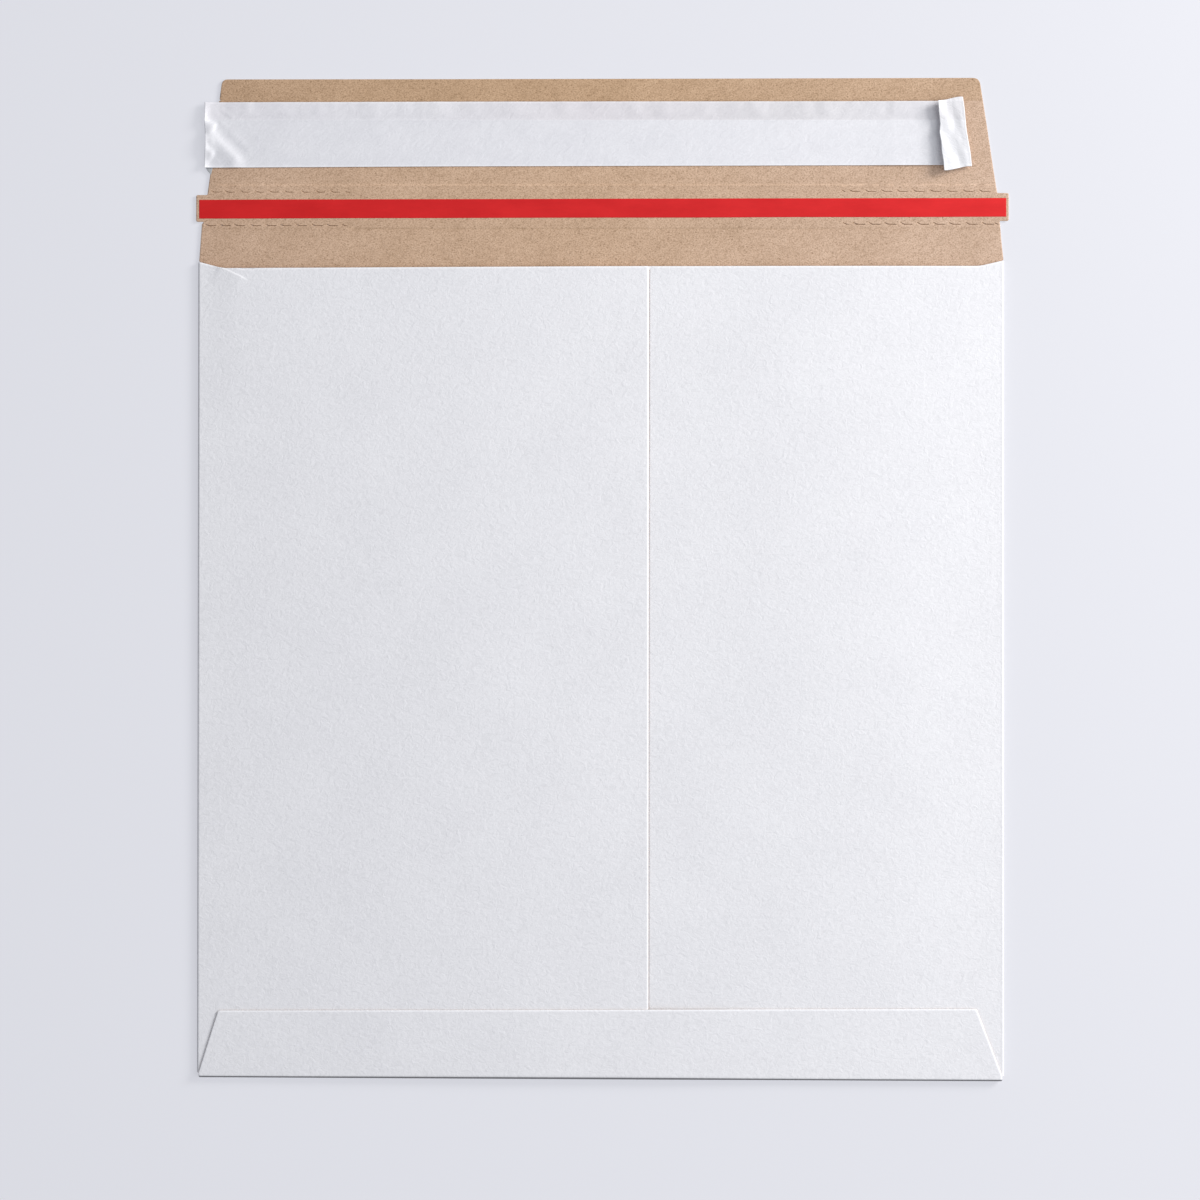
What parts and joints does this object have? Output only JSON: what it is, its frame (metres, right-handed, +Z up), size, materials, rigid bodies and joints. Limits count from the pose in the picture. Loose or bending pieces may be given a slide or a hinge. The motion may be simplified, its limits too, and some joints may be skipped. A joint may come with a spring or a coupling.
{
  "type": "calendar envelope",
  "caption": "Flat white paperboard mailer, brown kraft inside, folded and glued from one sheet, with a self-seal closure flap, peel-off liner and red tear tape.",
  "frame": {"origin": "middle of the footprint of the envelope lying on its front panel with the closure flap open, on the surface it lies on", "axes": "+X to the right seen from the back with the flap at the top, +Y towards the free edge of the open closure flap, +Z up out of the back panels"},
  "size_m": [0.3272, 0.402, 0.0057],
  "materials": {
    "white_lined_board": "matt white-lined mailer board with a soft fibrous surface, brown kraft on its inner side",
    "kraft_board": "unbleached kraft, matt and speckled, white-lined on its outer side",
    "red_tape": "satin film tape",
    "clear_adhesive": "tacky translucent film",
    "liner_paper": "thin smooth release paper with a slight sheen, crinkled at its ends",
    "seam_glue": "dried carton glue"
  },
  "bodies": {
    "envelope": {"envelope_body": "white_lined_board", "side_seam_glue": "seam_glue", "bottom_flap_glue": "seam_glue"},
    "flap": {"closure_flap": "kraft_board", "tear_tape": "red_tape", "closure_adhesive": "clear_adhesive", "release_liner": "liner_paper"}
  },
  "joints": [
    {"name": "closure_flap_crease", "type": "hinge", "parent": "envelope", "child": "flap", "pos_m": [0, 0.1275, 0.00185], "axis": [1, 0, 0], "range_deg": [0, 180], "deforming": ["release_liner"]}
  ]
}
